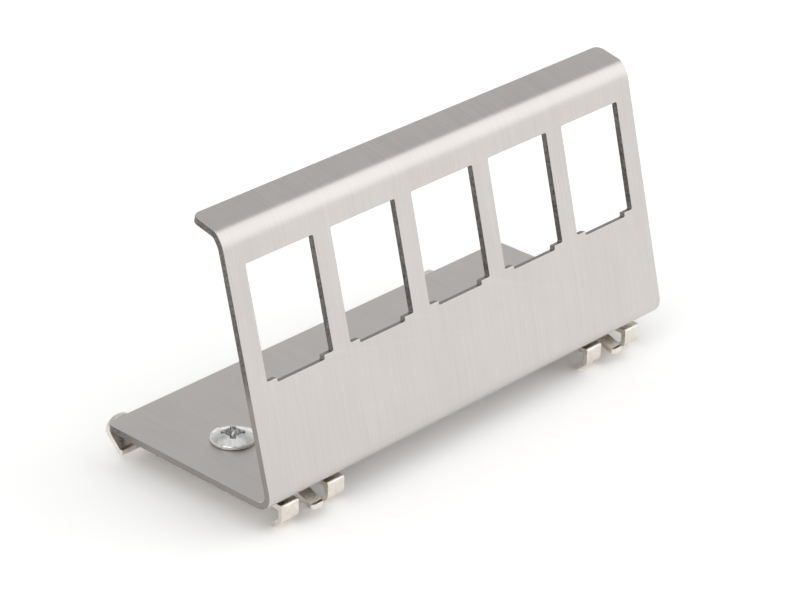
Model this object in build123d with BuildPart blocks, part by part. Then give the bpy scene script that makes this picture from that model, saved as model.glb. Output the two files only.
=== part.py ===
"""Keystone holder: a folded sheet with a row of ports, on two sprung clips that are each held by a screw.

The frame: X runs along the row of ports, the front plate faces -Y and Z is up. The origin is at mid-length and
at the middle of the clips' grip, in the plane on which the clips rest. All sizes are in millimetres.
"""
import os
from math import cos, radians, sin, tan

from build123d import *

os.makedirs("parts", exist_ok=True)

# Grip of the clips: its width, the flange that the hooks reach under and the play
rail_width = 35.0
rail_flange = 1.0
rail_play = 0.05

# Folded sheet
sheet = 1.2
bend_inside = 1.6
bracket_length = 99.0
base_ahead = 20.6
base_behind = 19.6
base_corner = 1.6
plate_height = 47.6
plate_lean = 14.0
lip_width = 6.8
lip_rise = 12.7
lip_corner = 1.3

# Keystone cut-outs, measured up the plate from its sharp outer corner
port_count = 5
port_pitch = 19.0
port_width = 15.0
port_height = 19.9
port_bottom = 21.75
port_corner = 0.3
foot_width = 10.7
foot_depth = 0.75

# Spring clip
clip_sheet = 1.0
clip_width = 14.5
clip_bend = 0.3
clip_from_end = 11.3
pad_rise = 0.75
pad_half = 5.0
ramp_run = 1.2
hook_width = 3.9
hook_room = 0.6
toe_length = 2.35
toe_slope = 38.0
tongue_width = 2.7
tongue_slope = 19.0
tongue_dip = 1.8
tongue_reach = 1.3
tongue_curl = 0.7
tongue_lift = 5.0
tongue_corner = 0.8
slot_behind_tongue = 1.1
wedge_depth = 1.4
wedge_lip = 0.75
ear_reach = 3.35
lug_width = 5.95
lug_gap = 0.1
lug_stand = 1.8
lug_outer_corner = 1.2
lug_inner_corner = 2.6
relief_width = 0.3
relief_depth = 0.55

# Screw
thread_radius = 2.0
screw_behind = 0.45
thread_gap = 0.05
sheet_hole_gap = 0.25
collar_wall = 0.9
screw_length = 6.0
screw_tip = 0.4
head_radius = 3.65
head_rim = 0.5
head_height = 2.7
recess_across = 4.4
recess_foot = 1.5
recess_depth = 1.6
recess_arm = 0.9
recess_core = 1.1
recess_turn = 20.0

# Places that follow from the sizes above
rail_half = rail_width / 2
base_bottom = clip_sheet + pad_rise
base_top = base_bottom + sheet
bend_outside = bend_inside + sheet
clip_bend_outside = clip_bend + clip_sheet
foot_corner = (-base_ahead, base_bottom)
plate_up = (sin(radians(plate_lean)), cos(radians(plate_lean)))
top_corner = (foot_corner[0] + plate_height * plate_up[0], foot_corner[1] + plate_height * plate_up[1])
lip_out = (cos(radians(lip_rise)), sin(radians(lip_rise)))
lip_end = (top_corner[0] + lip_width * lip_out[0], top_corner[1] + lip_width * lip_out[1])
plate_plane = Plane(
    origin=(0, foot_corner[0], foot_corner[1]),
    x_dir=(1, 0, 0),
    z_dir=(0, -plate_up[1], plate_up[0]),
)
clips_apart = bracket_length - 2 * clip_from_end
clip_places = (-clips_apart / 2, clips_apart / 2)
screw_hole_radius = thread_radius + sheet_hole_gap

# Bracket: base, leaned front plate and lip folded from one sheet
with BuildPart() as bracket:
    with BuildSketch(Plane.YZ):
        with BuildLine():
            FilletPolyline(
                (base_behind, base_bottom),
                foot_corner,
                top_corner,
                lip_end,
                radius=bend_outside,
            )
            offset(amount=sheet, side=Side.RIGHT)
        make_face()
    extrude(amount=bracket_length / 2, both=True)

    # Rounded rear corners of the base and free corners of the lip
    fillet(bracket.edges().filter_by(Axis.Z).group_by(Axis.Y)[-1], base_corner)
    across_lip = Axis((0, 0, 0), (0, -lip_out[1], lip_out[0]))
    fillet(bracket.edges().filter_by(across_lip), lip_corner)

    # Stepped cut-outs in a row
    with BuildSketch(plate_plane):
        with GridLocations(port_pitch, 0, port_count, 1):
            with Locations((0, port_bottom)):
                Rectangle(port_width, port_height, align=(Align.CENTER, Align.MIN))
                Rectangle(foot_width, 2 * foot_depth, align=(Align.CENTER, Align.CENTER))
        fillet(vertices(), port_corner)
    extrude(amount=2 * sheet, both=True, mode=Mode.SUBTRACT)

    # Clearance holes for the screws
    with BuildSketch(Plane.XY.offset(base_bottom)):
        with Locations([(place, screw_behind) for place in clip_places]):
            Circle(screw_hole_radius)
    extrude(amount=sheet, mode=Mode.SUBTRACT)
bracket.part.label = "bracket"
export_step(bracket.part, "parts/bracket.step")

# Side view of the spring clip, as the inner side of its sheet
hook_wall = -(rail_half + rail_play)
hook_foot = -(rail_flange + hook_room)
toe_end = (
    hook_wall + toe_length * cos(radians(toe_slope)),
    hook_foot - toe_length * sin(radians(toe_slope)),
)
tongue_tip_y = hook_wall - clip_sheet - tongue_reach
tongue_bend = (tongue_tip_y + tongue_curl * cos(radians(tongue_lift)), clip_sheet - tongue_dip)
tongue_tip = (tongue_tip_y, tongue_bend[1] + tongue_curl * sin(radians(tongue_lift)))
tongue_root = (tongue_bend[0] + tongue_dip / tan(radians(tongue_slope)), clip_sheet)
slot_root = tongue_root[0] + slot_behind_tongue
crease = (rail_half + rail_flange + rail_play - wedge_depth, -wedge_depth)
wedge_lip_end = (crease[0] - wedge_lip, crease[1])
lug_face = base_behind + lug_gap
lug_foot = (lug_face, base_top - lug_stand)
wedge_run = (lug_foot[0] - crease[0]) / (lug_foot[1] - crease[1])
wedge_top = crease[0] + wedge_depth * wedge_run
ear_side = clip_width / 2 + ear_reach
lug_side = ear_side - lug_width


def make_clip(centre, name):
    """Return one spring clip, folded from one strip, with its screw hole at X = centre."""
    with BuildPart() as clip:
        # Body: strip with a raised pad under the base, sloped hook and lip at the rear
        with BuildSketch(Plane.YZ.offset(centre - clip_width / 2)):
            with BuildLine():
                FilletPolyline(
                    (slot_root, 0),
                    (-pad_half - ramp_run, 0),
                    (-pad_half, pad_rise),
                    (pad_half, pad_rise),
                    (pad_half + ramp_run, 0),
                    (wedge_top, 0),
                    crease,
                    wedge_lip_end,
                    radius=[clip_bend_outside, clip_bend, clip_bend, clip_bend_outside, clip_bend, clip_bend],
                )
                offset(amount=clip_sheet, side=Side.LEFT)
            make_face()
        extrude(amount=clip_width)

        # Relief that frees the lug from the strip's bend
        with BuildSketch(Plane.XY.offset(-relief_depth)):
            with Locations((centre - clip_width / 2, wedge_top - clip_bend_outside)):
                Rectangle(
                    clip_width / 2 - lug_side + relief_width,
                    2 * clip_bend_outside,
                    align=(Align.MIN, Align.MIN),
                )
        extrude(amount=relief_depth + clip_sheet, mode=Mode.SUBTRACT)

        # Ear: the sloped hook runs on past the strip and stands up behind the base as a lug
        with BuildSketch(Plane.YZ.offset(centre - ear_side)):
            with BuildLine():
                FilletPolyline(
                    (lug_face, base_top),
                    lug_foot,
                    crease,
                    wedge_lip_end,
                    radius=clip_bend,
                )
                offset(amount=clip_sheet, side=Side.LEFT)
            make_face()
        extrude(amount=lug_width)
        lug_tips = clip.edges().filter_by(Axis.Y).group_by(Axis.Z)[-1].sort_by(Axis.X)
        fillet(lug_tips[0], lug_outer_corner)
        lug_tips = clip.edges().filter_by(Axis.Y).group_by(Axis.Z)[-1].sort_by(Axis.X)
        fillet(lug_tips[-1], lug_inner_corner)

        # Two hooks at the front edge
        for side in (-clip_width / 2, clip_width / 2 - hook_width):
            with BuildSketch(Plane.YZ.offset(centre + side)):
                with BuildLine():
                    FilletPolyline(
                        toe_end,
                        (hook_wall, hook_foot),
                        (hook_wall, 0),
                        (slot_root, 0),
                        radius=clip_bend,
                    )
                    offset(amount=clip_sheet, side=Side.LEFT)
                make_face()
            extrude(amount=hook_width)

        # Sprung tongue between the hooks, with its tip turned up
        with BuildSketch(Plane.YZ.offset(centre - tongue_width / 2)):
            with BuildLine():
                FilletPolyline(
                    tongue_tip,
                    tongue_bend,
                    tongue_root,
                    (slot_root, clip_sheet),
                    radius=[clip_bend, clip_bend_outside],
                )
                offset(amount=clip_sheet, side=Side.RIGHT)
            make_face()
        extrude(amount=tongue_width)
        tongue_end = clip.faces().sort_by(Axis.Y)[0]
        fillet(tongue_end.edges().filter_by(Axis.X, reverse=True), tongue_corner)

        # Drawn collar under the pad, and the hole that the screw threads into
        with BuildSketch(Plane.XY):
            with Locations((centre, screw_behind)):
                Circle(thread_radius + thread_gap + collar_wall)
        extrude(amount=pad_rise)
        with BuildSketch(Plane.XY):
            with Locations((centre, screw_behind)):
                Circle(thread_radius + thread_gap)
        extrude(amount=base_bottom, mode=Mode.SUBTRACT)
    clip.part.label = name
    return clip.part


for place, name in zip(clip_places, ("rail_clip_left", "rail_clip_right")):
    export_step(make_clip(place, name), f"parts/{name}.step")


def make_screw(centre, name):
    """Return one low domed screw with a cross recess, its head resting on the base at X = centre."""
    axis_plane = Plane(origin=(centre, screw_behind, base_top), x_dir=(1, 0, 0), z_dir=(0, -1, 0))
    turning_axis = Axis((centre, screw_behind, 0), (0, 0, 1))
    with BuildPart() as screw:
        with BuildSketch(axis_plane):
            with BuildLine():
                Polyline(
                    (0, head_height),
                    (0, -screw_length),
                    (thread_radius - screw_tip, -screw_length),
                    (thread_radius, screw_tip - screw_length),
                    (thread_radius, 0),
                    (head_radius, 0),
                    (head_radius, head_rim),
                )
                dome_rise = head_height - head_rim
                dome_radius = (head_radius**2 + dome_rise**2) / (2 * dome_rise)
                half_chord = head_radius / 2
                half_rise = (dome_radius**2 - half_chord**2) ** 0.5 - (dome_radius - dome_rise)
                ThreePointArc((head_radius, head_rim), (half_chord, head_rim + half_rise), (0, head_height))
            make_face()
        revolve(axis=turning_axis)

        # Cross recess: two tapered slots and a cone between them
        for turn in (recess_turn, recess_turn + 90):
            slot_plane = Plane(
                origin=(centre, screw_behind, base_top + head_height),
                x_dir=(cos(radians(turn)), sin(radians(turn)), 0),
                z_dir=(sin(radians(turn)), -cos(radians(turn)), 0),
            )
            with BuildSketch(slot_plane):
                with BuildLine():
                    Polyline(
                        (-recess_across / 2, 0),
                        (-recess_foot / 2, -recess_depth),
                        (recess_foot / 2, -recess_depth),
                        (recess_across / 2, 0),
                        close=True,
                    )
                make_face()
            extrude(amount=recess_arm / 2, both=True, mode=Mode.SUBTRACT)
        with BuildSketch(axis_plane):
            with BuildLine():
                Polyline(
                    (0, head_height),
                    (recess_core, head_height),
                    (recess_arm / 2, head_height - recess_depth),
                    (0, head_height - recess_depth),
                    close=True,
                )
            make_face()
        revolve(axis=turning_axis, mode=Mode.SUBTRACT)
    screw.part.label = name
    return screw.part


for place, name in zip(clip_places, ("screw_left", "screw_right")):
    export_step(make_screw(place, name), f"parts/{name}.step")
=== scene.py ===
"""Looks of a keystone holder with sprung clips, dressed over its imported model.

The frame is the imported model's own: X runs along the row of ports, the front plate faces -Y and Z is up.
Blender works in metres. The classes below hold their sizes in millimetres, as a maker's drawing gives them.
"""
import logging
import math
from dataclasses import dataclass
from enum import Enum
from typing import Any, Iterable

import bmesh
import bpy
from mathutils import Matrix, Quaternion, Vector


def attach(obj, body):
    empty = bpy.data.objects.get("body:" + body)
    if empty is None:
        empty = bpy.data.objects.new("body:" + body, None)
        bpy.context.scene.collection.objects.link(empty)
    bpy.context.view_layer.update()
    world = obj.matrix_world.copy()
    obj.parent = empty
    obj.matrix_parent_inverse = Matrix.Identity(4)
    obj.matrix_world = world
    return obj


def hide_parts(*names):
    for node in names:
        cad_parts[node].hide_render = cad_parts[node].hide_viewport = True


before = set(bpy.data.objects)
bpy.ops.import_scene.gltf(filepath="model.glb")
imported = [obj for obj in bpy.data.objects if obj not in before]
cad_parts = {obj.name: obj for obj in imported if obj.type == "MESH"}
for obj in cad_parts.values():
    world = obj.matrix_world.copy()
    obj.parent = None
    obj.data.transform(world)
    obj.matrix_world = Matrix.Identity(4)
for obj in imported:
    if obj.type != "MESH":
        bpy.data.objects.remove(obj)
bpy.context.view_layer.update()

MM = 0.001
log = logging.getLogger("keystone_holder")

Colour = tuple[float, float, float]
Span = tuple[float, float]
Socket = bpy.types.NodeSocket

# Sizes and places that several pieces share, in millimetres
SHEET = 1.2
BASE_BOTTOM = 1.75
BASE_AHEAD = 20.6
BASE_BEHIND = 19.6
CLIP_PLACE = 38.2
SCREW_BEHIND = 0.45

# Points of a CAD node, and of a shape made here, that are closer than this many millimetres are one point
NODE_WELD = 0.002
SEAM_WELD = 0.001
# Faces that turn by less than this many degrees are one flat face
FLAT_TURN = 1.0
# Edges of a folded and of a turned piece that turn by more than this many degrees are broken
FOLDED_TURN = 40.0
LATHE_TURN = 32.0
# Least cosine between two directions that count as one, and greatest one between two that count as square
SAME_WAY = 0.999
SQUARE_WAY = 1e-4

# Sockets of a Mix node set to colours: its share, its two colours and its result
MIX_INPUTS = (0, 6, 7)
MIX_RESULT = 2


class Slot(Enum):
    """Material slots that the pieces take their finish from."""

    SHEET = "stainless_sheet"
    CLIP = "clip_nickel"
    SCREW = "screw_zinc"


class Side(Enum):
    """The two ends of the bracket, by the sign of X."""

    LEFT = -1
    RIGHT = 1


# Helpers


class NodeBench:
    """Wires the nodes of one tree, for a material, the world or a modifier."""

    def __init__(self, tree: bpy.types.NodeTree) -> None:
        """Keep the tree.

        Args:
            tree: The node tree to add nodes to.
        """
        self.tree = tree

    def add(self, kind: str, settings: dict[str, Any] | None = None, **inputs: Any) -> bpy.types.Node:
        """Add one node.

        Args:
            kind: The node's type name.
            settings: Properties of the node, set before its inputs.
            inputs: Values or sockets for its inputs; an underscore in a name stands for a space.

        Returns:
            The new node.
        """
        node = self.tree.nodes.new(kind)
        for key, value in (settings or {}).items():
            setattr(node, key, value)
        for key, value in inputs.items():
            self.feed(node, key.replace("_", " "), value)
        return node

    def result(self, kind: str, settings: dict[str, Any] | None = None, **inputs: Any) -> Socket:
        """Add one node and return its first output."""
        return self.add(kind, settings, **inputs).outputs[0]

    def feed(self, node: bpy.types.Node, name: str | int, value: Any) -> None:
        """Set or link one input.

        Args:
            node: The node that has the input.
            name: The input's name or number.
            value: A plain value, one socket, or a list of sockets for an input that takes several.
        """
        socket = node.inputs[name]
        for one in value if isinstance(value, list) else [value]:
            if isinstance(one, bpy.types.NodeSocket):
                self.tree.links.new(one, socket)
            else:
                socket.default_value = one

    def pair(self, kind: str, operation: str, first: Any, second: Any) -> bpy.types.Node:
        """Add a node that works on two values or sockets.

        Args:
            kind: The node's type name.
            operation: What it does with the two.
            first: The first value or socket.
            second: The second value or socket.

        Returns:
            The new node.
        """
        node = self.add(kind, {"operation": operation})
        self.feed(node, 0, first)
        self.feed(node, 1, second)
        return node

    def math(self, operation: str, first: Any, second: Any) -> Socket:
        """Return the result of one sum on two values or sockets."""
        return self.pair("ShaderNodeMath", operation, first, second).outputs[0]

    def ranged(self, value: Any, source: Span, target: Span) -> Socket:
        """Map a value from one range to another, and hold it within that.

        Args:
            value: The value or socket.
            source: The range that it is read in.
            target: The range that it is given in.

        Returns:
            The socket that carries the mapped value.
        """
        low, high = source
        least, most = target
        return self.result(
            "ShaderNodeMapRange", Value=value, From_Min=low, From_Max=high, To_Min=least, To_Max=most
        )

    def mix(self, share: Any, first: Any, second: Any) -> Socket:
        """Mix two colours.

        Args:
            share: Share of the second colour, from 0 to 1.
            first: The first colour or socket.
            second: The second colour or socket.

        Returns:
            The socket that carries the mixed colour.
        """
        node = self.add("ShaderNodeMix", {"data_type": "RGBA"})
        for number, value in zip(MIX_INPUTS, (share, first, second)):
            self.feed(node, number, value)
        return node.outputs[MIX_RESULT]

    def noise(self, where: Socket, size: float, kind: tuple[float, float]) -> Socket:
        """Add a noise.

        Args:
            where: The place on the piece.
            size: About how large its marks are, in millimetres.
            kind: Its detail and its roughness.

        Returns:
            The noise, from 0 to 1.
        """
        detail, rough = kind
        scale = 1 / (size * MM)
        node = self.add("ShaderNodeTexNoise", Vector=where, Scale=scale, Detail=detail, Roughness=rough)
        return node.outputs["Fac"]


class ShapeTree(NodeBench):
    """A Geometry Nodes tree with named inputs, ended by Realize Instances and Set Material."""

    def __init__(self, name: str) -> None:
        """Start a tree that takes a mesh and gives one.

        Args:
            name: The tree's name.
        """
        super().__init__(bpy.data.node_groups.new(name, "GeometryNodeTree"))
        face = self.tree.interface
        face.new_socket("Geometry", in_out="OUTPUT", socket_type="NodeSocketGeometry")
        self.inlet = self.tree.nodes.new("NodeGroupInput")
        self.outlet = self.tree.nodes.new("NodeGroupOutput")
        self.identifiers: dict[str, str] = {}
        self.blank = self.named("Geometry", "NodeSocketGeometry")

    def named(self, name: str, kind: str = "NodeSocketFloat") -> Socket:
        """Make one named input of the tree.

        Args:
            name: The input's name.
            kind: The socket's type name.

        Returns:
            The socket inside the tree that carries the input.
        """
        item = self.tree.interface.new_socket(name, in_out="INPUT", socket_type=kind)
        self.identifiers[name] = item.identifier
        return self.inlet.outputs[name]

    def vector(self, x: Any = 0.0, y: Any = 0.0, z: Any = 0.0) -> Socket:
        """Return a vector made of three values or sockets."""
        return self.result("ShaderNodeCombineXYZ", X=x, Y=y, Z=z)

    def cut(self, cutters: list[Socket]) -> bpy.types.Node:
        """Add a node that cuts shapes out of the blank.

        Args:
            cutters: The shapes to take away.

        Returns:
            The new node.
        """
        node = self.add("GeometryNodeMeshBoolean", {"operation": "DIFFERENCE", "solver": "EXACT"})
        self.feed(node, 0, self.blank)
        self.feed(node, 1, cutters)
        return node

    def finish(self, shape: Socket, main: Socket, keep: Socket) -> None:
        """End the tree.

        Args:
            shape: The geometry to give.
            main: The material for every face that has not the kept one.
            keep: The material that some faces have already, and keep.
        """
        whole = self.result("GeometryNodeRealizeInstances", Geometry=shape)
        kept = self.result("GeometryNodeMaterialSelection", Material=keep)
        others = self.add("FunctionNodeBooleanMath", {"operation": "NOT"})
        self.feed(others, 0, kept)
        done = self.result(
            "GeometryNodeSetMaterial", Geometry=whole, Selection=others.outputs[0], Material=main
        )
        self.tree.links.new(done, self.outlet.inputs[0])

    def run(self, name: str, blank: bpy.types.Mesh, values: dict[str, Any]) -> bpy.types.Object:
        """Run the tree on a mesh and give the result as a plain mesh.

        Args:
            name: The name of the new piece.
            blank: The mesh that the tree starts from.
            values: A value for each named input.

        Returns:
            The new object, at the origin, with no modifier.
        """
        carrier = place(name + "_blank", blank)
        modifier = carrier.modifiers.new("shape", "NODES")
        modifier.node_group = self.tree
        for key, value in values.items():
            modifier[self.identifiers[key]] = value
        mesh = evaluated_mesh(carrier)
        carrier.modifiers.remove(modifier)
        bpy.data.objects.remove(carrier)
        mesh.name = name
        return place(name, mesh)


def emptied(owner: bpy.types.Material | bpy.types.World) -> NodeBench:
    """Empty the node tree of a material or the world.

    Args:
        owner: The material or the world.

    Returns:
        The bench that wires its nodes.
    """
    owner.use_nodes = True
    owner.node_tree.nodes.clear()
    return NodeBench(owner.node_tree)


def place(name: str, mesh: bpy.types.Mesh) -> bpy.types.Object:
    """Put a mesh in the scene as an object at the origin.

    Args:
        name: The object's name.
        mesh: Its mesh.

    Returns:
        The new object.
    """
    piece = bpy.data.objects.new(name, mesh)
    bpy.context.scene.collection.objects.link(piece)
    return piece


def evaluated_mesh(piece: bpy.types.Object) -> bpy.types.Mesh:
    """Return a plain mesh of a piece as its modifiers make it."""
    graph = bpy.context.evaluated_depsgraph_get()
    return bpy.data.meshes.new_from_object(piece.evaluated_get(graph), depsgraph=graph)


def settle(piece: bpy.types.Object) -> None:
    """Give a piece the mesh that its modifiers make, and take the modifiers off.

    Args:
        piece: The piece, given a new mesh.
    """
    mesh = evaluated_mesh(piece)
    piece.modifiers.clear()
    piece.data = mesh


def mesh_of(name: str, shell: bmesh.types.BMesh, *materials: bpy.types.Material) -> bpy.types.Mesh:
    """Turn a shell into a mesh, and free the shell.

    Args:
        name: The mesh's name.
        shell: The shell.
        materials: The materials that its faces point to by number.

    Returns:
        The new mesh.
    """
    mesh = bpy.data.meshes.new(name)
    shell.to_mesh(mesh)
    shell.free()
    for material in materials:
        mesh.materials.append(material)
    return mesh


def round_edges(piece: bpy.types.Object, width: float, turn: float, folded: bool = True) -> None:
    """Break the sharp edges of a piece and shade its bends smooth.

    Args:
        piece: The piece, given a new mesh.
        width: Width of the broken edge, in millimetres.
        turn: Edges that turn by more than this many degrees are broken.
        folded: True for a folded piece, whose broad faces are shaded flat; False for a turned one.
    """
    for polygon in piece.data.polygons:
        polygon.use_smooth = True
    bevel = piece.modifiers.new("broken_edges", "BEVEL")
    bevel.width = width * MM
    bevel.segments = 2
    bevel.limit_method = "ANGLE"
    bevel.angle_limit = math.radians(turn)
    bevel.use_clamp_overlap = False
    bevel.miter_outer = "MITER_ARC"
    if folded:
        flats = piece.modifiers.new("flat_faces", "WEIGHTED_NORMAL")
        flats.mode = "FACE_AREA"
    settle(piece)
    if not folded:
        piece.data.set_sharp_from_angle(angle=math.radians(turn))


def cut_away(piece: bpy.types.Object, block: bpy.types.Mesh) -> None:
    """Cut a block out of a piece.

    Args:
        piece: The piece, given a new mesh.
        block: The closed mesh to take away.
    """
    cutter = place("cutter", block)
    cut = piece.modifiers.new("cut", "BOOLEAN")
    cut.operation, cut.solver, cut.object = "DIFFERENCE", "EXACT", cutter
    settle(piece)
    bpy.data.objects.remove(cutter)


def merged_copy(node: str) -> bmesh.types.BMesh:
    """Copy the mesh of a node, with its triangles merged into one closed skin and its flat faces joined.

    Args:
        node: The node's name.

    Returns:
        The copy.
    """
    shell = bmesh.new()
    shell.from_mesh(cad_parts[node].data)
    bmesh.ops.remove_doubles(shell, verts=shell.verts, dist=NODE_WELD * MM)
    bmesh.ops.dissolve_degenerate(shell, dist=NODE_WELD * MM, edges=shell.edges)
    limit = math.radians(FLAT_TURN)
    bmesh.ops.dissolve_limit(
        shell, angle_limit=limit, verts=shell.verts, edges=shell.edges, use_dissolve_boundaries=False
    )
    return shell


# Finishes

# Detail and roughness of the noises that draw the marks and the soft clouds
MARK_NOISE = (4.0, 0.65)
CLOUD_NOISE = (2.0, 0.5)
# Ranges of the noise that are stretched to the two tones of the marks, and to gloss and cloud
TONE_SPAN = (0.32, 0.68)
NOISE_SPAN = (0.3, 0.7)
# Sharpness of the edges that wear starts at and is full at, and its greatest share
WORN_SPAN = (0.54, 0.62)
WORN_SHARE = 0.6


@dataclass(frozen=True)
class PaintedEdgeReflection:
    """A painted reflection of the pale floor on a cut edge, painted lighter round the foot fold.

    It is an oval in the plane of Y and Z. Its middle, reach and fade are in millimetres, share is how much of
    its tone shows at most, and narrow is how much a step across counts beside a step up.
    """

    tone: Colour
    share: float
    middle: tuple[float, float]
    reach: float
    fade: float
    narrow: float

    def lighten(self, bench: NodeBench, where: Socket, tone: Socket) -> Socket:
        """Paint the lighter floor reflection onto a tone within reach of the fold.

        Args:
            bench: The bench of the material's nodes.
            where: The place on the piece.
            tone: The tone so far.

        Returns:
            The lightened tone.
        """
        across, up = self.middle
        section = bench.pair("ShaderNodeVectorMath", "MULTIPLY", where, (0.0, self.narrow, 1.0)).outputs[0]
        middle = (0.0, self.narrow * across * MM, up * MM)
        away = bench.pair("ShaderNodeVectorMath", "DISTANCE", section, middle).outputs["Value"]
        # Painted reflection: the edge's colour grows lighter towards the foot fold
        near = bench.ranged(away, ((self.reach + self.fade) * MM, self.reach * MM), (0.0, self.share))
        return bench.mix(near, tone, (*self.tone, 1.0))


@dataclass(frozen=True)
class Finish:
    """A metal finish: two tones, the marks between them, soft clouds, relief and gloss.

    The sizes of marks and clouds and the relief are in millimetres. Wear is the tone of rubbed edges. A
    painted_reflection, where given, paints a lighter reflection of the floor into the colour.
    """

    name: str
    light: Colour
    dark: Colour
    gloss_rough: float
    matt_rough: float
    mark_size: float
    mark_stretch: tuple[float, float, float]
    relief: float
    cloud_size: float
    cloud_depth: float
    wear: Colour
    painted_reflection: PaintedEdgeReflection | None = None

    def make(self) -> bpy.types.Material:
        """Build the material.

        Returns:
            The material, with marks, soft clouds of tone, worn edges and a fine relief.
        """
        material = bpy.data.materials.new(self.name)
        bench = emptied(material)
        where = bench.add("ShaderNodeTexCoord").outputs["Object"]
        stretched = bench.result("ShaderNodeMapping", Vector=where, Scale=self.mark_stretch)
        marks = bench.noise(stretched, self.mark_size, MARK_NOISE)
        clouds = bench.noise(where, self.cloud_size, CLOUD_NOISE)
        tone = bench.mix(bench.ranged(marks, TONE_SPAN, (0.0, 1.0)), (*self.dark, 1.0), (*self.light, 1.0))
        shade = bench.ranged(clouds, NOISE_SPAN, (1.0 - self.cloud_depth, 1.0 + self.cloud_depth))
        shaded = bench.add("ShaderNodeVectorMath", {"operation": "SCALE"}, Scale=shade)
        bench.feed(shaded, 0, tone)
        clouded = shaded.outputs[0]
        # Painted reflection of the pale floor, lighter near the foot fold, where the finish has one
        if self.painted_reflection:
            clouded = self.painted_reflection.lighten(bench, where, clouded)
        edge = bench.add("ShaderNodeNewGeometry").outputs["Pointiness"]
        worn = bench.ranged(edge, WORN_SPAN, (0.0, WORN_SHARE))
        colour = bench.mix(worn, clouded, (*self.wear, 1.0))
        rough = bench.ranged(marks, NOISE_SPAN, (self.gloss_rough, self.matt_rough))
        relief = bench.result("ShaderNodeBump", Height=marks, Distance=self.relief * MM, Strength=1.0)
        shader = bench.result(
            "ShaderNodeBsdfPrincipled", Base_Color=colour, Roughness=rough, Normal=relief, Metallic=1.0
        )
        bench.add("ShaderNodeOutputMaterial", Surface=shader)
        return material


BRUSHED_STAINLESS = Finish(
    name="brushed_stainless",
    light=(0.645, 0.614, 0.595),
    dark=(0.580, 0.552, 0.534),
    gloss_rough=0.31,
    matt_rough=0.42,
    mark_size=0.24,
    mark_stretch=(1.0, 0.012, 0.012),
    relief=0.0022,
    cloud_size=16.0,
    cloud_depth=0.02,
    wear=(0.80, 0.78, 0.76),
)
CUT_EDGE = Finish(
    name="cut_stainless_edge",
    light=(0.25, 0.233, 0.22),
    dark=(0.062, 0.057, 0.054),
    gloss_rough=0.32,
    matt_rough=0.60,
    mark_size=0.55,
    mark_stretch=(0.9, 1.0, 1.0),
    relief=0.02,
    cloud_size=6.0,
    cloud_depth=0.12,
    wear=(0.55, 0.53, 0.50),
    # Painted reflection: the cut edge is painted lighter within reach of the foot fold
    painted_reflection=PaintedEdgeReflection(
        tone=(0.37, 0.345, 0.325),
        share=0.70,
        middle=(-BASE_AHEAD, BASE_BOTTOM),
        reach=18.5,
        fade=4.5,
        narrow=0.62,
    ),
)
PLATED_SPRING = Finish(
    name="nickel_plated_spring",
    light=(0.83, 0.785, 0.725),
    dark=(0.74, 0.69, 0.625),
    gloss_rough=0.24,
    matt_rough=0.36,
    mark_size=1.3,
    mark_stretch=(1.0, 1.0, 1.0),
    relief=0.006,
    cloud_size=4.0,
    cloud_depth=0.06,
    wear=(0.86, 0.83, 0.78),
)
BRIGHT_ZINC = Finish(
    name="bright_zinc_screw",
    light=(0.90, 0.90, 0.89),
    dark=(0.62, 0.62, 0.62),
    gloss_rough=0.04,
    matt_rough=0.11,
    mark_size=0.9,
    mark_stretch=(1.0, 1.0, 1.0),
    relief=0.006,
    cloud_size=2.5,
    cloud_depth=0.05,
    wear=(0.92, 0.92, 0.92),
)
# Zinc inside the cross recess with painted shade: tones darker than the head's stand in for the shade in the
# recess
RECESS_SHADE_ZINC = Finish(
    name="zinc_with_painted_recess_shade",
    light=(0.62, 0.62, 0.62),
    dark=(0.10, 0.10, 0.10),
    gloss_rough=0.05,
    matt_rough=0.12,
    mark_size=0.35,
    mark_stretch=(1.0, 1.0, 1.0),
    relief=0.01,
    cloud_size=1.5,
    cloud_depth=0.1,
    wear=(0.75, 0.75, 0.75),
)


# The folded bracket


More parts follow.
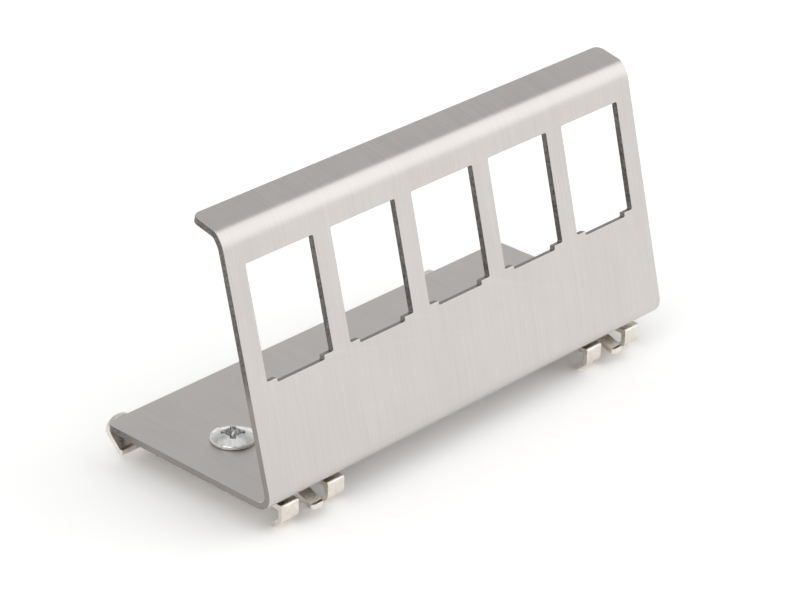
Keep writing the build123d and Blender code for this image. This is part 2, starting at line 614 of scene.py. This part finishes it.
@dataclass
class Bracket:
    """Base, leaned front plate and lip, folded from one sheet, with a row of stepped cut-outs.

    The foot bend joins base and plate. The top bend has one outside radius for a part of its turn, from the
    plate on, and a tighter one to its end at the lip. A port's foot is the narrower step below it.
    """

    length: float = 99.0
    sheet: float = SHEET
    foot_bend: float = 2.8
    top_bend: float = 6.4
    top_bend_end: float = 2.2
    top_bend_part: float = 0.45
    base_bottom: float = BASE_BOTTOM
    base_ahead: float = BASE_AHEAD
    base_behind: float = BASE_BEHIND
    base_corner: float = 1.6
    plate_height: float = 47.6
    plate_lean: float = 14.0
    lip_width: float = 6.8
    lip_rise: float = 12.7
    lip_corner: float = 1.5
    port_count: int = 5
    port_pitch: float = 19.0
    port_width: float = 15.0
    port_height: float = 19.9
    port_bottom: float = 21.75
    port_corner: float = 0.3
    foot_width: float = 10.7
    foot_depth: float = 0.75
    cut_depth: float = 4.8
    hole_radius: float = 2.25
    hole_place: float = CLIP_PLACE
    hole_behind: float = SCREW_BEHIND
    broken_edge: float = 0.09
    bend_faces: int = 14
    corner_faces: int = 8
    port_corner_faces: int = 4
    hole_faces: int = 48

    def outline(self) -> list[tuple[Vector, Vector]]:
        """Lay out the folded section.

        Returns:
            Stations from the rear of the base to the end of the lip, each as the outer point and the inner
            point of the sheet, in the plane of Y and Z.
        """
        lean, rise = math.radians(self.plate_lean), math.radians(self.lip_rise)
        rear = Vector((self.base_behind, self.base_bottom))
        foot = Vector((-self.base_ahead, self.base_bottom))
        top = foot + self.plate_height * Vector((math.sin(lean), math.cos(lean)))
        tip = top + self.lip_width * Vector((math.cos(rise), math.sin(rise)))
        ways = [(end - start).normalized() for start, end in ((rear, foot), (foot, top), (top, tip))]
        stations = [self.station(rear, foot - rear)]
        stations += self.bend(foot, ways[:2], (self.foot_bend, self.foot_bend))
        stations += self.bend(top, ways[1:], (self.top_bend, self.top_bend_end), self.top_bend_part)
        stations.append(self.station(tip, tip - top))
        return stations

    def station(self, outer: Vector, along: Vector) -> tuple[Vector, Vector]:
        """Return an outer point of the sheet and the inner point across from it."""
        inward = Vector((along.y, -along.x)).normalized()
        return outer, outer + self.sheet * inward

    def bend(
        self, corner: Vector, ways: list[Vector], radii: Span, part: float = 0.5
    ) -> list[tuple[Vector, Vector]]:
        """Lay out one bend, which may tighten on its way round.

        Args:
            corner: The sharp outer corner that the bend rounds.
            ways: Directions of the sheet before and after the bend.
            radii: Outer radii of the bend's first part and of the rest.
            part: Share of the turn that the first part takes.

        Returns:
            The stations round the bend.
        """
        coming, going = ways
        first, second = radii
        inward = Vector((coming.y, -coming.x))
        turn = coming.angle(going)
        change = turn * part
        across = first * math.sin(change) + second * (math.sin(turn) - math.sin(change))
        down = first * (1 - math.cos(change)) + second * (math.cos(change) - math.cos(turn))
        start = corner - coming * (across - down / math.tan(turn))
        toward = inward * math.cos(change) - coming * math.sin(change)
        first_centre = start + first * inward
        second_centre = first_centre + (second - first) * toward
        stations = []
        for step in range(self.bend_faces + 1):
            angle = turn * step / self.bend_faces
            outward = coming * math.sin(angle) - inward * math.cos(angle)
            centre, radius = (first_centre, first) if angle <= change else (second_centre, second)
            stations.append((centre + outward * radius, centre + outward * (radius - self.sheet)))
        return stations

    def blank(self, faces: bpy.types.Material, cut: bpy.types.Material) -> bpy.types.Mesh:
        """Fold the plain sheet, before its holes are cut.

        Args:
            faces: Material of the two broad faces.
            cut: Material of the sheet's rim.

        Returns:
            A closed mesh with its free corners rounded.
        """
        body = bmesh.new()
        half = self.length / 2
        rows = []
        for section in self.outline():
            places = [(x, point) for x in (-half, half) for point in section]
            rows.append([body.verts.new((x * MM, point.x * MM, point.y * MM)) for x, point in places])
        # A row holds the outer and the inner point of the sheet's left end, then those of its right end
        for near, far in zip(rows, rows[1:]):
            for a, b in ((0, 1), (1, 3), (3, 2), (2, 0)):
                body.faces.new((near[a], near[b], far[b], far[a]))
        rear, tip = rows[0], rows[-1]
        body.faces.new((rear[0], rear[2], rear[3], rear[1]))
        body.faces.new((tip[0], tip[1], tip[3], tip[2]))
        for row, radius in ((rear, self.base_corner), (tip, self.lip_corner)):
            for pair in (row[:2], row[2:]):
                bmesh.ops.bevel(
                    body,
                    geom=[body.edges.get(pair)],
                    offset=radius * MM,
                    segments=self.corner_faces,
                    profile=0.5,
                    affect="EDGES",
                    clamp_overlap=False,
                )
        bmesh.ops.recalc_face_normals(body, faces=body.faces)
        rise = math.radians(self.lip_rise)
        lip_end, base_end = Vector((0, math.cos(rise), math.sin(rise))), Vector((0, 1, 0))
        lip_level = (self.plate_height - self.lip_width) * MM
        for face in body.faces:
            end = lip_end if face.calc_center_median().z > lip_level else base_end
            is_cut = face.normal.dot(end) > SAME_WAY or abs(face.normal.x) > SQUARE_WAY
            face.material_index = int(is_cut)
        return mesh_of("bracket_blank", body, faces, cut)

    def prism(self, tree: ShapeTree, size: tuple[Any, Any, Any], middle: Any, corner: Any) -> Socket:
        """Make a closed prism with rounded corners.

        Args:
            tree: The tree that it is made in.
            size: Its width along the row, its height up the plate and its length through it.
            middle: Height of its middle up the plate.
            corner: Radius of its corners.

        Returns:
            The prism, lying flat with its middle at Z = 0.
        """
        width, height, length = size
        count = self.port_corner_faces
        line = tree.result("GeometryNodeCurvePrimitiveQuadrilateral", Width=width, Height=height)
        rounded = tree.result(
            "GeometryNodeFilletCurve", {"mode": "POLY"}, Curve=line, Radius=corner, Count=count
        )
        flat = tree.result("GeometryNodeFillCurve", {"mode": "NGONS"}, Curve=rounded)
        raised = tree.result("GeometryNodeExtrudeMesh", Mesh=flat, Offset_Scale=length, Individual=False)
        turned = tree.result("GeometryNodeFlipFaces", Mesh=flat)
        both = tree.result("GeometryNodeJoinGeometry", Geometry=[raised, turned])
        closed = tree.result("GeometryNodeMergeByDistance", Geometry=both, Distance=SEAM_WELD * MM)
        where = tree.vector(0.0, middle, tree.math("MULTIPLY", length, -0.5))
        return tree.result("GeometryNodeTransform", Geometry=closed, Translation=where)

    def punch(self) -> ShapeTree:
        """Build the tree that cuts the row of ports and the screw holes.

        Returns:
            The tree, with an input for each size of the cut-outs.
        """
        tree = ShapeTree("bracket_cut_outs")
        count = tree.named("Port Count", "NodeSocketInt")
        pitch = tree.named("Port Pitch")
        width = tree.named("Port Width")
        height = tree.named("Port Height")
        bottom = tree.named("Port Bottom")
        corner = tree.named("Port Corner")
        foot_width = tree.named("Foot Width")
        foot_depth = tree.named("Foot Depth")
        through = tree.named("Cut Depth")
        origin = tree.named("Plate Origin", "NodeSocketVector")
        tilt = tree.named("Plate Tilt")
        hole_radius = tree.named("Hole Radius")
        hole_start = tree.named("First Hole", "NodeSocketVector")
        hole_step = tree.named("Next Hole", "NodeSocketVector")
        broad = tree.named("Sheet Face", "NodeSocketMaterial")
        cut = tree.named("Cut Edge", "NodeSocketMaterial")

        port_middle = tree.math("ADD", bottom, tree.math("MULTIPLY", height, 0.5))
        port = self.prism(tree, (width, height, through), port_middle, corner)
        foot_height = tree.math("MULTIPLY", foot_depth, 2.0)
        foot = self.prism(tree, (foot_width, foot_height, through), bottom, corner)
        span = tree.math("MULTIPLY", tree.math("SUBTRACT", count, 1.0), pitch)
        row_start = tree.vector(tree.math("MULTIPLY", span, -0.5))
        row_step = tree.vector(pitch)
        row = tree.result("GeometryNodeMeshLine", Count=count, Start_Location=row_start, Offset=row_step)
        holes = tree.result("GeometryNodeMeshLine", Count=2, Start_Location=hole_start, Offset=hole_step)
        drill = tree.result(
            "GeometryNodeMeshCylinder", Vertices=self.hole_faces, Radius=hole_radius, Depth=through
        )
        turn = tree.vector(tilt)
        cutters = []
        for points, shape in ((row, port), (row, foot), (holes, drill)):
            copies = tree.result("GeometryNodeInstanceOnPoints", Points=points, Instance=shape)
            solid = tree.result("GeometryNodeRealizeInstances", Geometry=copies)
            if shape is not drill:
                solid = tree.result(
                    "GeometryNodeTransform", Geometry=solid, Translation=origin, Rotation=turn
                )
            cutters.append(tree.result("GeometryNodeSetMaterial", Geometry=solid, Material=cut))
        tree.finish(tree.cut(cutters).outputs[0], broad, cut)
        return tree

    def build(self) -> bpy.types.Object:
        """Build and dress the bracket.

        Returns:
            The finished piece.
        """
        broad, cut = BRUSHED_STAINLESS.make(), CUT_EDGE.make()
        sizes = {
            "Port Pitch": self.port_pitch,
            "Port Width": self.port_width,
            "Port Height": self.port_height,
            "Port Bottom": self.port_bottom,
            "Port Corner": self.port_corner,
            "Foot Width": self.foot_width,
            "Foot Depth": self.foot_depth,
            "Cut Depth": self.cut_depth,
            "Hole Radius": self.hole_radius,
        }
        hole_level = self.base_bottom + self.sheet / 2
        values = {name: size * MM for name, size in sizes.items()}
        values |= {
            "Port Count": self.port_count,
            "Plate Origin": (0.0, -self.base_ahead * MM, self.base_bottom * MM),
            "Plate Tilt": math.radians(90 - self.plate_lean),
            "First Hole": (-self.hole_place * MM, self.hole_behind * MM, hole_level * MM),
            "Next Hole": (2 * self.hole_place * MM, 0.0, 0.0),
            "Sheet Face": broad,
            "Cut Edge": cut,
        }
        piece = self.punch().run("folded_bracket", self.blank(broad, cut), values)
        round_edges(piece, self.broken_edge, FOLDED_TURN)
        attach(piece, "root")
        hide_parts("bracket")
        return piece


# The spring clips


@dataclass
class SpringClip:
    """One clip folded from a plated spring strip, its edges tumbled round before plating.

    The strip's top, the hooks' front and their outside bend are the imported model's, and bend_sharp is the
    bend that the hooks get here. The lug is the rounded end of the strip that stands up behind the base.
    """

    side: Side
    tumbled_edge: float = 0.11
    place_along: float = CLIP_PLACE
    strip_top: float = 1.0
    hook_front: float = -18.55
    bend_outside: float = 1.3
    bend_sharp: float = 0.5
    bend_slack: float = 0.01
    ear_side: float = 10.6
    lug_top: float = BASE_BOTTOM + SHEET
    lug_from: float = BASE_BEHIND
    lug_corner: float = 2.7
    cutter_lead: float = 1.2
    cutter_length: float = 4.0
    cutter_over: float = 1.0
    corner_faces: int = 12

    def sharpen_hooks(self, shell: bmesh.types.BMesh) -> None:
        """Tighten the outer side of the hooks' upper bend, which is sharper than its inner side.

        Args:
            shell: The clip's skin, changed in place.
        """
        shift = self.bend_outside - self.bend_sharp
        middle = Vector((self.hook_front + self.bend_outside, self.strip_top - self.bend_outside))
        for vert in shell.verts:
            spoke = Vector((vert.co.y, vert.co.z)) / MM - middle
            on_bend = abs(spoke.length - self.bend_outside) < self.bend_slack
            if on_bend and spoke.x < self.bend_slack and spoke.y > -self.bend_slack:
                moved = middle + Vector((-shift, shift)) + self.bend_sharp * spoke.normalized()
                vert.co.y, vert.co.z = moved.x * MM, moved.y * MM

    def corner_cutter(self) -> bpy.types.Mesh:
        """Build the block that rounds the outer corner of the lug behind the base.

        Returns:
            A closed mesh: a corner piece with a hollow quarter round.
        """
        outer = self.side.value * self.place_along - self.ear_side
        across, up = outer + self.lug_corner, self.lug_top - self.lug_corner
        line = []
        for step in range(self.corner_faces + 1):
            angle = math.pi / 2 * step / self.corner_faces
            sideways, rise = self.lug_corner * math.cos(angle), self.lug_corner * math.sin(angle)
            line.append((across - sideways, up + rise))
        past, above = outer - self.cutter_over, self.lug_top + self.cutter_over
        line += [(across, above), (past, above), (past, up)]
        block = bmesh.new()
        start = (self.lug_from - self.cutter_lead) * MM
        front = block.faces.new([block.verts.new((x * MM, start, z * MM)) for x, z in line])
        grown = bmesh.ops.extrude_face_region(block, geom=[front])["geom"]
        back = [item for item in grown if isinstance(item, bmesh.types.BMVert)]
        bmesh.ops.translate(block, verts=back, vec=(0, self.cutter_length * MM, 0))
        bmesh.ops.recalc_face_normals(block, faces=block.faces)
        return mesh_of("lug_corner_cutter", block)

    def build(self, plating: bpy.types.Material) -> bpy.types.Object:
        """Build and dress the clip.

        Args:
            plating: The plated finish.

        Returns:
            The finished piece.
        """
        end = self.side.name.lower()
        shell = merged_copy(f"rail_clip_{end}")
        self.sharpen_hooks(shell)
        for face in shell.faces:
            face.material_index = 0
        piece = place(f"sprung_clip_{end}", mesh_of(f"sprung_clip_{end}", shell, plating))
        cut_away(piece, self.corner_cutter())
        round_edges(piece, self.tumbled_edge, FOLDED_TURN)
        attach(piece, "root")
        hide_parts(f"rail_clip_{end}")
        return piece


# The screws


@dataclass
class DomedScrew:
    """One low domed screw with a cross recess and a rolled thread.

    The dome ends rim_flat inside the head's edge and rim_lift above its rim. The rim's upper edge falls off
    over rim_shoulder and rim_drop, and rim_under is the slope below it.
    """

    side: Side
    place_along: float = CLIP_PLACE
    place_behind: float = SCREW_BEHIND
    seat: float = BASE_BOTTOM + SHEET
    head_radius: float = 3.95
    head_rim: float = 0.78
    head_height: float = 1.65
    rim_flat: float = 0.5
    rim_lift: float = 0.1
    rim_shoulder: float = 0.15
    rim_drop: float = 0.2
    rim_under: float = 0.24
    soft_edge: float = 0.05
    thread_radius: float = 2.0
    thread_ridge: float = 0.26
    thread_pitch: float = 0.7
    core_radius: float = 1.68
    length: float = 6.0
    tip: float = 0.4
    recess_across: float = 4.7
    recess_foot: float = 1.3
    recess_depth: float = 1.75
    recess_arm: float = 1.2
    recess_arm_flare: float = 1.15
    recess_core: float = 1.5
    recess_turn: float = 46.0
    cutter_over: float = 0.6
    dome_faces: int = 14
    turned_faces: int = 72
    core_faces: int = 24
    thread_faces: int = 28
    ridge_faces: int = 6

    def blank(self, plating: bpy.types.Material, recess: bpy.types.Material) -> bpy.types.Mesh:
        """Turn the plain head and core on a lathe.

        Args:
            plating: Material of the turned faces.
            recess: Material that the recess is cut with, painted darker as shade.

        Returns:
            A closed mesh with the seat of its head at Z = 0.
        """
        inner = self.head_radius - self.rim_flat
        rise = self.head_height - self.head_rim - self.rim_lift
        radius = (inner**2 + rise**2) / (2 * rise)
        sweep = math.asin(inner / radius)
        line = []
        for step in range(self.dome_faces + 1):
            angle = sweep * step / self.dome_faces
            line.append((radius * math.sin(angle), self.head_height - radius * (1 - math.cos(angle))))
        line += [
            (self.head_radius - self.rim_shoulder, self.head_rim),
            (self.head_radius, self.head_rim - self.rim_drop),
            (self.head_radius, self.rim_under),
            (self.head_radius - self.rim_under, 0.0),
            (self.core_radius, 0.0),
            (self.core_radius, self.tip - self.length),
            (self.core_radius - self.tip, -self.length),
            (0.0, -self.length),
        ]
        body = bmesh.new()
        points = [body.verts.new((r * MM, 0.0, z * MM)) for r, z in line]
        edges = [body.edges.new(pair) for pair in zip(points, points[1:])]
        bmesh.ops.spin(
            body,
            geom=points + edges,
            cent=(0, 0, 0),
            axis=(0, 0, 1),
            angle=math.tau,
            steps=self.turned_faces,
            use_merge=True,
        )
        bmesh.ops.remove_doubles(body, verts=body.verts, dist=SEAM_WELD * MM)
        bmesh.ops.recalc_face_normals(body, faces=body.faces)
        return mesh_of("screw_blank", body, plating, recess)

    def strike(self) -> ShapeTree:
        """Build the tree that strikes the recess, rolls the thread and sets the screw in place.

        Returns:
            The tree, with an input for each size.
        """
        tree = ShapeTree("screw_recess_and_thread")
        mouth = tree.named("Recess Mouth")
        foot = tree.named("Recess Foot")
        arm = tree.named("Recess Arm")
        core = tree.named("Recess Core")
        reach = tree.named("Recess Reach")
        lowest = tree.named("Recess Floor")
        turn = tree.named("Recess Turn")
        where = tree.named("Place", "NodeSocketVector")
        thread_centre = tree.named("Thread Centre")
        thread_size = tree.named("Thread Size")
        thread_turns = tree.named("Thread Turns")
        thread_length = tree.named("Thread Length")
        thread_start = tree.named("Thread Start")
        plating = tree.named("Plating", "NodeSocketMaterial")
        recess = tree.named("Recess", "NodeSocketMaterial")

        # A cone of four sides, turned by an eighth, is the tapered block that cuts each arm of the cross
        half_diagonal = math.sqrt(0.5)
        wedge = tree.result(
            "GeometryNodeMeshCone",
            Vertices=4,
            Radius_Top=tree.math("MULTIPLY", mouth, half_diagonal),
            Radius_Bottom=tree.math("MULTIPLY", foot, half_diagonal),
            Depth=reach,
        )
        square = tree.result("GeometryNodeTransform", Geometry=wedge, Rotation=(0.0, 0.0, math.pi / 4))
        thin = tree.vector(1.0, tree.math("DIVIDE", arm, mouth), 1.0)
        arm_shape = tree.result("GeometryNodeTransform", Geometry=square, Scale=thin)
        two = tree.result("GeometryNodePoints", Count=2)
        index = tree.result("GeometryNodeInputIndex")
        quarter = tree.vector(0.0, 0.0, tree.math("MULTIPLY", index, math.pi / 2))
        cross = tree.result(
            "GeometryNodeInstanceOnPoints", Points=two, Instance=arm_shape, Rotation=quarter
        )
        both_arms = tree.result("GeometryNodeRealizeInstances", Geometry=cross)
        pit = tree.result(
            "GeometryNodeMeshCone",
            Vertices=self.core_faces,
            Radius_Top=core,
            Radius_Bottom=tree.math("MULTIPLY", arm, 0.5),
            Depth=reach,
        )
        up, round_axis = tree.vector(0.0, 0.0, lowest), tree.vector(0.0, 0.0, turn)
        cutters = []
        # The recess walls take the material with painted shade
        for shape in (both_arms, pit):
            lifted = tree.result(
                "GeometryNodeTransform", Geometry=shape, Translation=up, Rotation=round_axis
            )
            cutters.append(tree.result("GeometryNodeSetMaterial", Geometry=lifted, Material=recess))
        head = tree.cut(cutters)
        tree.feed(head, "Self Intersection", True)

        helix = tree.result(
            "GeometryNodeCurveSpiral",
            Resolution=self.thread_faces,
            Rotations=thread_turns,
            Start_Radius=thread_centre,
            End_Radius=thread_centre,
            Height=thread_length,
        )
        ridge = tree.result(
            "GeometryNodeCurvePrimitiveCircle", Resolution=self.ridge_faces, Radius=thread_size
        )
        rolled = tree.result("GeometryNodeCurveToMesh", Curve=helix, Profile_Curve=ridge, Fill_Caps=True)
        down = tree.vector(0.0, 0.0, thread_start)
        thread = tree.result("GeometryNodeTransform", Geometry=rolled, Translation=down)
        whole = tree.result("GeometryNodeJoinGeometry", Geometry=[head.outputs[0], thread])
        placed = tree.result("GeometryNodeTransform", Geometry=whole, Translation=where)
        tree.finish(placed, plating, recess)
        return tree

    def build(self, plating: bpy.types.Material, recess: bpy.types.Material) -> bpy.types.Object:
        """Build and dress the screw.

        Args:
            plating: The bright plated finish.
            recess: The zinc inside the recess, painted darker as shade.

        Returns:
            The finished piece.
        """
        end = self.side.name.lower()
        taper = (self.recess_across - self.recess_foot) / self.recess_depth
        core_taper = (self.recess_core - self.recess_arm / 2) / self.recess_depth
        thread_length = self.length - self.tip - 2 * self.thread_ridge
        sizes = {
            "Recess Mouth": self.recess_across + self.cutter_over * taper,
            "Recess Foot": self.recess_foot,
            "Recess Arm": self.recess_arm * self.recess_arm_flare,
            "Recess Core": self.recess_core + self.cutter_over * core_taper,
            "Recess Reach": self.recess_depth + self.cutter_over,
            "Recess Floor": self.head_height - self.recess_depth,
            "Thread Centre": self.thread_radius - self.thread_ridge,
            "Thread Size": self.thread_ridge,
            "Thread Length": thread_length,
            "Thread Start": self.tip + self.thread_ridge - self.length,
        }
        values = {name: size * MM for name, size in sizes.items()}
        values |= {
            "Recess Turn": math.radians(self.recess_turn),
            "Thread Turns": thread_length / self.thread_pitch,
            "Place": (self.side.value * self.place_along * MM, self.place_behind * MM, self.seat * MM),
            "Plating": plating,
            "Recess": recess,
        }
        piece = self.strike().run(f"domed_screw_{end}", self.blank(plating, recess), values)
        round_edges(piece, self.soft_edge, LATHE_TURN, folded=False)
        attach(piece, "root")
        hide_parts(f"screw_{end}")
        return piece


# The studio


@dataclass(frozen=True)
class SoftBox:
    """A soft lamp that looks at the holder. Its angles are in degrees, its distance and size in metres."""

    name: str
    azimuth: float
    elevation: float
    distance: float
    size: float
    watts: float

    def hang(self, target: Vector) -> None:
        """Hang the lamp.

        Args:
            target: The point that it looks at.
        """
        lamp = bpy.data.lights.new(self.name, "AREA")
        lamp.shape = "SQUARE"
        lamp.size = self.size
        lamp.energy = self.watts
        box = bpy.data.objects.new(self.name, lamp)
        turn, lift = math.radians(self.azimuth), math.radians(self.elevation)
        way = Vector((math.cos(lift) * math.sin(turn), -math.cos(lift) * math.cos(turn), math.sin(lift)))
        box.location = target + way * self.distance
        box.rotation_euler = way.to_track_quat("Z", "Y").to_euler()
        box.visible_camera = False
        bpy.context.scene.collection.objects.link(box)


@dataclass
class Studio:
    """Pale floor, soft lamps, plain room light and the camera.

    The camera's eye and the floor's level are in millimetres, as the holder's sizes are. The camera's turn
    is an axis as long as its angle in radians. The room's stops are heights of the ray and levels of light.
    """

    eye: tuple[float, float, float] = (-344.33, -322.24, 257.82)
    turn_vector: tuple[float, float, float] = (1.9211, -0.8158, 0.5181)
    lens: float = 137.83
    sensor: float = 36.0
    nearest_metres: float = 0.01
    farthest_metres: float = 50.0
    floor_level: float = -3.87
    floor_metres: float = 6.0
    floor_squares: int = 8
    floor_tone: float = 0.93
    floor_seen: float = 1.22
    room_stops: tuple[Span, ...] = ((0.14, 1.0), (0.30, 0.76), (0.70, 0.53), (0.92, 0.8))
    room_blue: float = 0.995
    target_metres: tuple[float, float, float] = (0.0, 0.0, 0.02)
    boxes: tuple[SoftBox, ...] = (
        SoftBox("front_right_box", azimuth=47.0, elevation=36.0, distance=2.2, size=1.9, watts=10.5),
        SoftBox("left_box", azimuth=-80.0, elevation=55.0, distance=1.3, size=0.9, watts=2.2),
    )

    def camera(self) -> None:
        """Set up the camera that looks down on the holder's front left."""
        data = bpy.data.cameras.new("camera")
        data.lens = self.lens
        data.sensor_width = self.sensor
        data.clip_start, data.clip_end = self.nearest_metres, self.farthest_metres
        turn = Vector(self.turn_vector)
        seen = Quaternion(turn.normalized(), turn.length).to_matrix()
        pose = Matrix((seen[0], -seen[1], -seen[2])).transposed().to_4x4()
        pose.translation = Vector(self.eye) * MM
        camera = bpy.data.objects.new("camera", data)
        camera.matrix_world = pose
        bpy.context.scene.collection.objects.link(camera)
        bpy.context.scene.camera = camera

    def floor(self) -> None:
        """Lay the pale floor, which looks whiter than it lights the holder."""
        shell = bmesh.new()
        squares = self.floor_squares
        bmesh.ops.create_grid(shell, x_segments=squares, y_segments=squares, size=self.floor_metres)
        bmesh.ops.translate(shell, verts=shell.verts, vec=(0, 0, self.floor_level * MM))
        material = bpy.data.materials.new("studio_floor")
        bench = emptied(material)
        ray = bench.add("ShaderNodeLightPath").outputs
        looked_at = bench.math("MAXIMUM", ray["Is Camera Ray"], ray["Is Glossy Ray"])
        seen = bench.math("MAXIMUM", looked_at, ray["Is Transmission Ray"])
        tone = bench.ranged(seen, (0.0, 1.0), (self.floor_tone, self.floor_seen))
        paint = bench.result("ShaderNodeBsdfDiffuse", Color=tone)
        bench.add("ShaderNodeOutputMaterial", Surface=paint)
        place("studio_floor", mesh_of("studio_floor", shell, material))

    def room(self) -> None:
        """Fill the room with soft light that is whitest near the floor and a little darker higher up."""
        world = bpy.data.worlds.new("room")
        bpy.context.scene.world = world
        bench = emptied(world)
        way = bench.add("ShaderNodeTexCoord").outputs["Generated"]
        height = bench.add("ShaderNodeSeparateXYZ", Vector=way).outputs["Z"]
        ramp = bench.add("ShaderNodeValToRGB", Fac=height)
        ramp.color_ramp.interpolation = "EASE"
        marks = ramp.color_ramp.elements
        for number, (place_up, level) in enumerate(self.room_stops):
            mark = marks[number] if number < len(marks) else marks.new(place_up)
            mark.position = place_up
            mark.color = (level, level, level * self.room_blue, 1)
        light = bench.result("ShaderNodeBackground", Color=ramp.outputs[0], Strength=1.0)
        bench.add("ShaderNodeOutputWorld", Surface=light)

    def build(self) -> None:
        """Set up the whole studio."""
        bpy.context.scene.view_settings.view_transform = "Standard"
        self.camera()
        self.floor()
        self.room()
        for box in self.boxes:
            box.hang(Vector(self.target_metres))


# Making it all


def report(piece: bpy.types.Object) -> None:
    """Say through the log what a piece is and how many faces it has."""
    mesh = piece.data
    log.info("built %s: %d faces, %d materials", piece.name, len(mesh.polygons), len(mesh.materials))


def main() -> None:
    """Build the studio and every piece in order."""
    logging.basicConfig(level=logging.INFO, format="%(name)s: %(message)s")
    Studio().build()
    report(Bracket().build())
    plating = PLATED_SPRING.make()
    # The recess material is zinc with painted shade
    bright, recess = BRIGHT_ZINC.make(), RECESS_SHADE_ZINC.make()
    for side in Side:
        report(SpringClip(side).build(plating))
    for side in Side:
        report(DomedScrew(side).build(bright, recess))
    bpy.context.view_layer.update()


if __name__ == "__main__":
    main()
